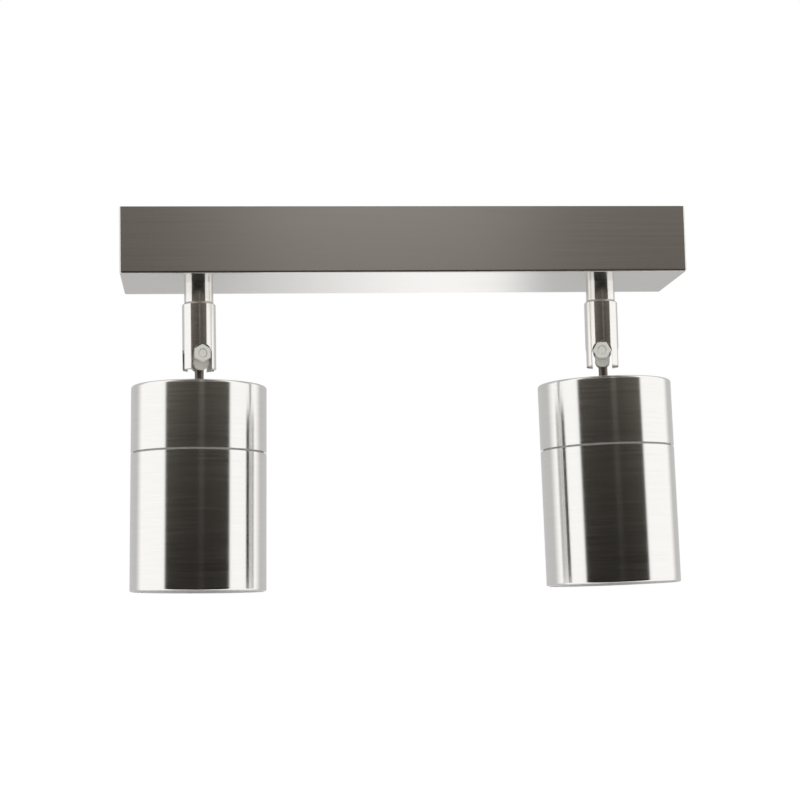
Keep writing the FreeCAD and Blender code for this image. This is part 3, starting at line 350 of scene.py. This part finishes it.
# ---------------------------------------------------------------------------------------
# Earth lug and lamp contacts: tinned copper strip, soft and bright. The swivels' lock
# washers and wave washers, which keep each arm where it is turned, are bare spring steel.
# ---------------------------------------------------------------------------------------
dress(satin_metal("tinned_copper", (0.28, 0.4), ("b9b4ae", "cdc9c3")), "earth_lug",
      "left_holder_contacts", "right_holder_contacts")
dress(satin_metal("spring_steel", (0.25, 0.36), ("8b8a86", "a5a39e")), "swivel_lock_washers",
      "swivel_wave_washers")

# ---------------------------------------------------------------------------------------
# Leads: stranded wire, in brown and blue PVC inside the base, and in heat-proof white
# silicone inside the arms and the heads. They run from the terminal block to the lamps.
# ---------------------------------------------------------------------------------------
SIDES = ("left", "right")
STRIPE_TWIST = 22 * MM
LEAD_FINISHES = {
    "brown_pvc": (("5a3320", "6b3f28"), ("base_live_leads",)),
    "blue_pvc": (("1f5fa8", "2a6fb8"), ("base_neutral_leads",)),
    "white_silicone": (("e2e0da", "f0eeea"), tuple(
        side + piece for side in SIDES for piece in ("_arm_leads", "_head_leads"))),
}
for finish, (tones, nodes) in LEAD_FINISHES.items():
    dress(moulded(finish, {"IOR": 1.5}, tones, grit_mm=0.5, rough=(0.35, 0.5), bump_mm=0.01), *nodes)

# The earth lead's cover is green with a yellow stripe that runs round it in a long twist.
earth_pvc, tree, shader = new_finish("green_and_yellow_pvc", {"IOR": 1.5, "Roughness": 0.4})
spot = add(tree, "ShaderNodeTexCoord")
stripes = add(tree, "ShaderNodeTexWave", {"Vector": spot.outputs["Object"], "Scale": 1 / STRIPE_TWIST,
                                          "Distortion": 0.3}, bands_direction="DIAGONAL")
stripe_edge = add(tree, "ShaderNodeMath", {0: stripes.outputs["Fac"], 1: 0.5}, operation="GREATER_THAN")
stripe_tone = add(tree, "ShaderNodeMix", {0: stripe_edge, 6: tint("2f8f3a"), 7: tint("e6cf2e")},
                  data_type="RGBA")
tree.links.new(stripe_tone.outputs[2], shader.inputs["Base Color"])
dress(earth_pvc, "earth_lead")

# ---------------------------------------------------------------------------------------
# Ferrules and arm tubes: stainless steel turned on a lathe and polished round, so that
# light draws long streaks along them. Each arm hangs from its ferrule and swivels there.
# ---------------------------------------------------------------------------------------
RING_SPACING = 0.5 * MM        # the turning marks are finer than this, drawn as coarse as they show
RING_DRIFT = (1.6, 1.6, 1.6)   # how much the marks change on their way round
DRAWN_ROUGHNESS = 0.7          # the bores, left dull as they were drawn, with a film of oxide
DRAWN_METALLIC = 0.45
joints = {joint["name"]: joint for joint in frame["joints"]}


def head_line(side):
    """The pivot of a head, and the direction from its mouth back to its cap."""
    pivot = Vector(joints[side + "_tilt"]["pos_m"])
    low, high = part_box(side + "_lamp_lens")
    return pivot, (pivot - (low + high) / 2).normalized()


def turned_steel(name, centre, axis, rough, bump_mm, tones, stretch, polished_from):
    """Steel polished in rings round an axis; within a radius it is left dull, as it was drawn."""
    material, tree, shader = new_finish(name, {"Metallic": 1.0, "Anisotropic": stretch})
    spot = add(tree, "ShaderNodeTexCoord")
    reach = add(tree, "ShaderNodeVectorMath", {0: spot.outputs["Object"], 1: tuple(centre)},
                operation="SUBTRACT")
    along = add(tree, "ShaderNodeVectorMath", {0: reach, 1: tuple(axis)}, operation="DOT_PRODUCT")
    climb = add(tree, "ShaderNodeVectorMath", {0: tuple(axis)}, operation="SCALE")
    tree.links.new(along.outputs["Value"], climb.inputs["Scale"])
    outward = add(tree, "ShaderNodeVectorMath", {0: reach, 1: climb}, operation="SUBTRACT")
    radius = add(tree, "ShaderNodeVectorMath", {0: outward}, operation="LENGTH")
    height = add(tree, "ShaderNodeMath", {0: along.outputs["Value"], 1: radius.outputs["Value"]},
                 operation="ADD")
    ring = add(tree, "ShaderNodeMath", {0: height, 1: 1 / RING_SPACING}, operation="MULTIPLY")
    round_it = add(tree, "ShaderNodeVectorMath", {0: outward}, operation="NORMALIZE")
    ringed = add(tree, "ShaderNodeCombineXYZ", {2: ring})
    marks_place = add(tree, "ShaderNodeVectorMath", {0: round_it, 1: RING_DRIFT, 2: ringed},
                      operation="MULTIPLY_ADD")
    marks = add(tree, "ShaderNodeTexNoise", {"Vector": marks_place, "Scale": 1.0, "Detail": 3.0})
    wear(tree, shader, marks.outputs[0], rough=rough, bump_mm=bump_mm, tones=tones)
    outside = add(tree, "ShaderNodeMath", {0: radius.outputs["Value"], 1: polished_from},
                  operation="GREATER_THAN")
    polished = shader.inputs["Roughness"].links[0].from_socket
    roughness = add(tree, "ShaderNodeMix", {0: outside, 2: DRAWN_ROUGHNESS, 3: polished})
    tree.links.new(roughness.outputs[0], shader.inputs["Roughness"])
    metallic = add(tree, "ShaderNodeMix", {0: outside, 2: DRAWN_METALLIC, 3: 1.0})
    tree.links.new(metallic.outputs[0], shader.inputs["Metallic"])
    ring_line = add(tree, "ShaderNodeVectorMath", {0: tuple(axis), 1: outward}, operation="CROSS_PRODUCT")
    lengthwise = add(tree, "ShaderNodeVectorMath", {0: spot.outputs["Normal"], 1: ring_line},
                     operation="CROSS_PRODUCT")
    lengthwise = add(tree, "ShaderNodeVectorMath", {0: lengthwise}, operation="NORMALIZE")
    lengthwise = add(tree, "ShaderNodeVectorTransform", {0: lengthwise}, vector_type="VECTOR",
                     convert_from="OBJECT", convert_to="WORLD")
    tree.links.new(lengthwise.outputs[0], shader.inputs["Tangent"])
    return material


UPRIGHT = Vector((0.0, 0.0, 1.0))
ARM_BORE = 6.3 * MM            # a hair more than the tube's bore
for side in SIDES:
    pivot, _ = head_line(side)
    arm_steel = turned_steel(side + "_arm_turned_steel", pivot, UPRIGHT, rough=(0.13, 0.17), bump_mm=0.0005,
                             tones=("e4e1dc", "efedea"), stretch=0.6, polished_from=ARM_BORE)
    dress(arm_steel, side + "_ferrule", side + "_arm_tube")

# ---------------------------------------------------------------------------------------
# Pivot forks: turned and milled from bar; their cheeks carry the pivot bolt. Dull nickel
# plate, under a little lacquer, makes them paler than the polished steel round them. A
# washer of clear nylon lies on each side of the stem's eye.
# ---------------------------------------------------------------------------------------
PIT_SPACING = 0.4 * MM


def dull_nickel(name, tones):
    """Nickel plate on a blasted surface: much of it reads as a plain pale grey."""
    material, tree, shader = new_finish(name, {"Metallic": 0.3})
    spot = add(tree, "ShaderNodeTexCoord")
    pits = add(tree, "ShaderNodeTexNoise", {"Vector": spot.outputs["Object"], "Scale": 1 / PIT_SPACING,
                                            "Detail": 2.0})
    wear(tree, shader, pits.outputs[0], rough=(0.5, 0.62), bump_mm=0.01, tones=tones)
    return material


dress(dull_nickel("dull_nickel_fork", ("dcdad2", "e8e6df")), "left_pivot_fork", "right_pivot_fork")
dress(moulded("clear_nylon", {"IOR": 1.53}, ("cfccc4", "dad8d2"), grit_mm=0.5, rough=(0.3, 0.4),
              bump_mm=0.005), "left_pivot_washers", "right_pivot_washers")

# ---------------------------------------------------------------------------------------
# Pivot bolts and nuts: hexagons cut from bar with their corners turned off, on a rolled
# thread. The bolt goes in from the back, and the nut in front clamps the fork on the eye.
# ---------------------------------------------------------------------------------------
STEPS = 96                     # facets in a turn, a whole number for each side of a hexagon
CORNER_CUT = math.radians(30)  # how the corners of a hexagon are turned off
FACE_SHARE = 0.96              # radius of the round face that is left, to the flats
SHARP_EDGE = math.radians(24)
SHANK_RADIUS = 2 * MM
HEAD_HEIGHT = 2.8 * MM
THREAD_PITCH = 0.7 * MM
THREAD_DEPTH = 0.32 * MM
EDGE_BREAK = 0.2 * MM
WELD = 1e-7                    # points closer than this, in metres, are one
COS_30 = math.cos(math.pi / 6)


def frame_along(origin, axis):
    """A frame at a point, with its Z along an axis."""
    return Matrix.Translation(origin) @ axis.to_track_quat("Z", "Y").to_matrix().to_4x4()


def measured(node, place):
    """How high, and how wide, a CAD piece is in a frame, and the angle of its widest point."""
    local = place.inverted()
    points = [local @ vertex.co for vertex in frame["nodes"][node].data.vertices]
    heights = [point.z for point in points]
    widest = max(points, key=lambda point: point.xy.length)
    return min(heights), max(heights), widest.xy.length, math.atan2(widest.y, widest.x)


def spun(shell, place, outline, start=0.0):
    """Spins an outline of (radius, height) points, which may change with the angle, round Z."""
    rings = []
    for step in range(STEPS):
        turn = math.tau * step / STEPS
        cosine, sine = math.cos(start + turn), math.sin(start + turn)
        rings.append([shell.verts.new(place @ Vector((radius * cosine, radius * sine, height)))
                      for radius, height in outline(turn)])
    ends_on_axis = outline(0.0)[0][0] == 0.0
    count = len(rings[0])
    for this, following in zip(rings, rings[1:] + rings[:1]):
        for near in range(count - 1 if ends_on_axis else count):
            far = (near + 1) % count
            shell.faces.new((this[near], following[near], following[far], this[far]))
    bmesh.ops.remove_doubles(shell, verts=shell.verts, dist=WELD)
    bmesh.ops.recalc_face_normals(shell, faces=shell.faces)


def rim_of(flats, turn):
    """The radius of a hexagon at an angle from its corner, and how far its corner cut drops there."""
    rim = flats / math.cos(turn % (math.pi / 3) - math.pi / 6)
    return rim, (rim - FACE_SHARE * flats) * math.tan(CORNER_CUT)


def nut_outline(flats, bore, low, high):
    """A hexagon with a threaded bore, its corners turned off on both faces."""
    def outline(turn):
        rim, drop = rim_of(flats, turn)
        face = FACE_SHARE * flats
        return [(bore, low + EDGE_BREAK), (bore + EDGE_BREAK, low), (face, low), (rim, low + drop),
                (rim, high - drop), (face, high), (bore + EDGE_BREAK, high), (bore, high - EDGE_BREAK)]
    return outline


def bolt_outline(flats, shank, tip, under_head, top):
    """A bolt: its shank from a chamfered tip, and a hexagon head turned off on top."""
    def outline(turn):
        rim, drop = rim_of(flats, turn)
        return [(0.0, tip), (shank - 2 * EDGE_BREAK, tip), (shank, tip + 2 * EDGE_BREAK), (shank, under_head),
                (rim, under_head), (rim, top - drop), (FACE_SHARE * flats, top), (0.0, top)]
    return outline


def fitted(name, shell, material, body, slot, *nodes):
    """Makes a finished piece of a mesh, lets it ride on its body and stand for its CAD nodes."""
    mesh = bpy.data.meshes.new(name)
    shell.to_mesh(mesh)
    shell.free()
    mesh.materials.append(material)
    mesh.shade_smooth()
    mesh.set_sharp_from_angle(angle=SHARP_EDGE)
    piece = bpy.data.objects.new(name, mesh)
    bpy.context.scene.collection.objects.link(piece)
    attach(piece, body)
    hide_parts(*nodes)


def new_tree(name, inputs):
    """A Geometry Nodes tree with named inputs, each a number with its default."""
    tree = bpy.data.node_groups.new(name, "GeometryNodeTree")
    for label, value in inputs.items():
        kind = "NodeSocketInt" if isinstance(value, int) else "NodeSocketFloat"
        tree.interface.new_socket(label, in_out="INPUT", socket_type=kind).default_value = value
    tree.interface.new_socket("Geometry", in_out="OUTPUT", socket_type="NodeSocketGeometry")
    return tree, tree.nodes.new("NodeGroupInput").outputs


def grown(shell, tree, values, place):
    """Runs a tree with these inputs, and adds what it makes to a mesh, at its place."""
    seed = bpy.data.objects.new("seed", bpy.data.meshes.new("seed"))
    bpy.context.scene.collection.objects.link(seed)
    modifier = seed.modifiers.new(tree.name, "NODES")
    modifier.node_group = tree
    sockets = {item.name: item.identifier for item in tree.interface.items_tree if item.in_out == "INPUT"}
    for label, value in values.items():
        modifier[sockets[label]] = value
    evaluated = seed.evaluated_get(bpy.context.evaluated_depsgraph_get())
    made = bpy.data.meshes.new_from_object(evaluated)
    made.transform(place)
    shell.from_mesh(made)
    bpy.data.objects.remove(seed)
    bpy.data.meshes.remove(made)


# The thread: a three-sided ridge along a helix, sunk a little into its shank.
thread_tree, thread_input = new_tree("rolled_thread", {
    "Radius": SHANK_RADIUS, "Turns": 4.0, "Pitch": THREAD_PITCH, "Depth": THREAD_DEPTH})
climb = add(thread_tree, "ShaderNodeMath", {0: thread_input["Turns"], 1: thread_input["Pitch"]},
            operation="MULTIPLY")
helix = add(thread_tree, "GeometryNodeCurveSpiral", {
    "Resolution": 32, "Rotations": thread_input["Turns"], "Start Radius": thread_input["Radius"],
    "End Radius": thread_input["Radius"], "Height": climb})
upright_helix = add(thread_tree, "GeometryNodeSetCurveNormal", {"Curve": helix}, mode="Z_UP")
ridge = add(thread_tree, "GeometryNodeCurvePrimitiveCircle", {
    "Resolution": 3, "Radius": thread_input["Depth"]}, mode="RADIUS")
thread = add(thread_tree, "GeometryNodeCurveToMesh", {
    "Curve": upright_helix, "Profile Curve": ridge, "Fill Caps": True})
bolt_plate = dull_nickel("dull_nickel_bolt", ("f4f3ec", "fbfaf5"))
plated = add(thread_tree, "GeometryNodeSetMaterial", {"Geometry": thread, "Material": bolt_plate})
realized = add(thread_tree, "GeometryNodeRealizeInstances", {"Geometry": plated})
add(thread_tree, "NodeGroupOutput", {"Geometry": realized})


def threaded(shell, place, radius, low, high):
    """Rolls a thread onto a shank of this outer radius, between two heights."""
    turns = (high - low) / THREAD_PITCH
    grown(shell, thread_tree, {"Radius": radius - THREAD_DEPTH / 2, "Turns": turns, "Pitch": THREAD_PITCH,
                               "Depth": THREAD_DEPTH / 2}, place @ Matrix.Translation((0.0, 0.0, low)))


for side in SIDES:
    pivot, head_axis = head_line(side)
    bolt_place = frame_along(pivot, Vector(joints[side + "_tilt"]["axis"]))
    low, high, corner, first_corner = measured(side + "_pivot_nut", bolt_place)
    nut_shell = bmesh.new()
    spun(nut_shell, bolt_place, nut_outline(corner * COS_30, SHANK_RADIUS, low, high), first_corner)
    fitted(side + "_pivot_hex_nut", nut_shell, bolt_plate, side + "_arm", "screw_steel",
           side + "_pivot_nut")
    tip, top, head_corner, head_angle = measured(side + "_pivot_bolt", bolt_place)
    bolt = bolt_outline(head_corner * COS_30, SHANK_RADIUS - THREAD_DEPTH / 2, tip, top - HEAD_HEIGHT, top)
    bolt_shell = bmesh.new()
    spun(bolt_shell, bolt_place, bolt, head_angle)
    threaded(bolt_shell, bolt_place, SHANK_RADIUS, tip + 2 * EDGE_BREAK, high)
    fitted(side + "_pivot_hex_bolt", bolt_shell, bolt_plate, side + "_arm", "screw_steel",
           side + "_pivot_bolt")
    # The stem's own nut, inside the cap of the head.
    stem_place = frame_along(pivot, head_axis)
    low, high, corner, first_corner = measured(side + "_stem_nut", stem_place)
    nut_shell = bmesh.new()
    spun(nut_shell, stem_place, nut_outline(corner * COS_30, SHANK_RADIUS, low, high), first_corner)
    fitted(side + "_stem_hex_nut", nut_shell, bolt_plate, side + "_head", "screw_steel",
           side + "_stem_nut")

# ---------------------------------------------------------------------------------------
# Tilt stems: hollow steel pins, given a dark colour as painted shade and painted reflection
# of the dark room they mirror. The pivot bolt goes through the eye at the top, and the head
# hangs on the foot, which its nut and washer hold inside the cap.
# ---------------------------------------------------------------------------------------
# Their dark tone is painted shade: a dark colour in place of the dark room that the shiny stems mirror.
dress(satin_metal("stem_steel_painted_dark", (0.35, 0.45), ("6b655f", "7b756f")), "left_tilt_stem",
      "right_tilt_stem")

# ---------------------------------------------------------------------------------------
# Heads: a cap and a sleeve of spun stainless steel, polished round, with a fine groove
# between them. The sleeve comes off the cap, for the lamp to be reached.
# ---------------------------------------------------------------------------------------
HEAD_BORE = 28.8 * MM          # a hair more than the sleeve's bore
for side in SIDES:
    pivot, head_axis = head_line(side)
    head_steel = turned_steel(side + "_head_spun_steel", pivot, head_axis, rough=(0.13, 0.17), bump_mm=0.0005,
                              tones=("e4e2de", "efeeec"), stretch=0.6, polished_from=HEAD_BORE)
    dress(head_steel, side + "_head_cap", side + "_head_sleeve")

# ---------------------------------------------------------------------------------------
# Lamp holders and lamps: a holder of glazed ceramic on its bracket, and in it a reflector
# lamp with a white plastic body, nickel-plated pins and a clear lens set back in the mouth.
# ---------------------------------------------------------------------------------------
dress(moulded("steatite_ceramic", {"IOR": 1.6}, ("dcd6c8", "e6e1d5"), grit_mm=1.2, rough=(0.25, 0.4),
              bump_mm=0.02), "left_lamp_holder", "right_lamp_holder")
dress(moulded("white_lamp_plastic", {"IOR": 1.55}, ("dedddb", "e9e8e6"), grit_mm=0.7, rough=(0.4, 0.5),
              bump_mm=0.01), "left_lamp_body", "right_lamp_body")
dress(satin_metal("nickel_pin", (0.15, 0.25), ("bdb6a8", "cfc9bd")), "left_lamp_pins", "right_lamp_pins")

# The lens is moulded in clear acrylic, with small domes all over its face that spread the light.
# They stand on a spiral: each is a golden turn on, and outward by the root of its number.
LENS_DOME = 1.15 * MM
LENS_DOME_RISE = 0.35          # the height of a dome, as a share of its radius
LENS_SPACING = 1.22 * MM
LENS_MARGIN = 1.0 * MM         # plain rim outside the last domes
GOLDEN_TURN = math.pi * (3 - math.sqrt(5))
lens_acrylic = moulded("clear_acrylic", {"IOR": 1.49, "Transmission Weight": 0.75}, ("f2f3f3", "fafafa"),
                       grit_mm=1.5, rough=(0.1, 0.18), bump_mm=0.005)
dome_tree, dome_input = new_tree("lens_domes", {
    "Count": 300, "Spacing": LENS_SPACING, "Dome Radius": LENS_DOME, "Rise": LENS_DOME_RISE})
dots = add(dome_tree, "GeometryNodePoints", {"Count": dome_input["Count"]})
number = add(dome_tree, "GeometryNodeInputIndex")
turn = add(dome_tree, "ShaderNodeMath", {0: number, 1: GOLDEN_TURN}, operation="MULTIPLY")
ring_share = add(dome_tree, "ShaderNodeMath", {0: number, 1: 0.5}, operation="ADD")
ring_share = add(dome_tree, "ShaderNodeMath", {0: ring_share}, operation="SQRT")
ring_radius = add(dome_tree, "ShaderNodeMath", {0: ring_share, 1: dome_input["Spacing"]},
                  operation="MULTIPLY")
cosine = add(dome_tree, "ShaderNodeMath", {0: turn}, operation="COSINE")
sine = add(dome_tree, "ShaderNodeMath", {0: turn}, operation="SINE")
dot_x = add(dome_tree, "ShaderNodeMath", {0: ring_radius, 1: cosine}, operation="MULTIPLY")
dot_y = add(dome_tree, "ShaderNodeMath", {0: ring_radius, 1: sine}, operation="MULTIPLY")
dot_place = add(dome_tree, "ShaderNodeCombineXYZ", {0: dot_x, 1: dot_y})
spread = add(dome_tree, "GeometryNodeSetPosition", {"Geometry": dots, "Position": dot_place})
dome = add(dome_tree, "GeometryNodeMeshUVSphere", {
    "Segments": 12, "Rings": 6, "Radius": dome_input["Dome Radius"]})
flatness = add(dome_tree, "ShaderNodeCombineXYZ", {0: 1.0, 1: 1.0, 2: dome_input["Rise"]})
flat_dome = add(dome_tree, "GeometryNodeTransform", {"Geometry": dome, "Scale": flatness})
domes = add(dome_tree, "GeometryNodeInstanceOnPoints", {"Points": spread, "Instance": flat_dome})
clear_domes = add(dome_tree, "GeometryNodeSetMaterial", {"Geometry": domes, "Material": lens_acrylic})
real_domes = add(dome_tree, "GeometryNodeRealizeInstances", {"Geometry": clear_domes})
add(dome_tree, "NodeGroupOutput", {"Geometry": real_domes})

for side in SIDES:
    pivot, head_axis = head_line(side)
    lens_place = frame_along(pivot, head_axis)
    face, back, rim, _ = measured(side + "_lamp_lens", lens_place)
    disc = [(0.0, back), (rim, back), (rim, face + EDGE_BREAK), (rim - EDGE_BREAK, face), (0.0, face)]
    lens_shell = bmesh.new()
    spun(lens_shell, lens_place, lambda turn: disc)
    count = int(((rim - LENS_DOME - LENS_MARGIN) / LENS_SPACING) ** 2)
    grown(lens_shell, dome_tree, {"Count": count, "Spacing": LENS_SPACING, "Dome Radius": LENS_DOME,
                                  "Rise": LENS_DOME_RISE}, lens_place @ Matrix.Translation((0.0, 0.0, face)))
    fitted(side + "_lamp_moulded_lens", lens_shell, lens_acrylic, side + "_head", "lamp_lens",
           side + "_lamp_lens")
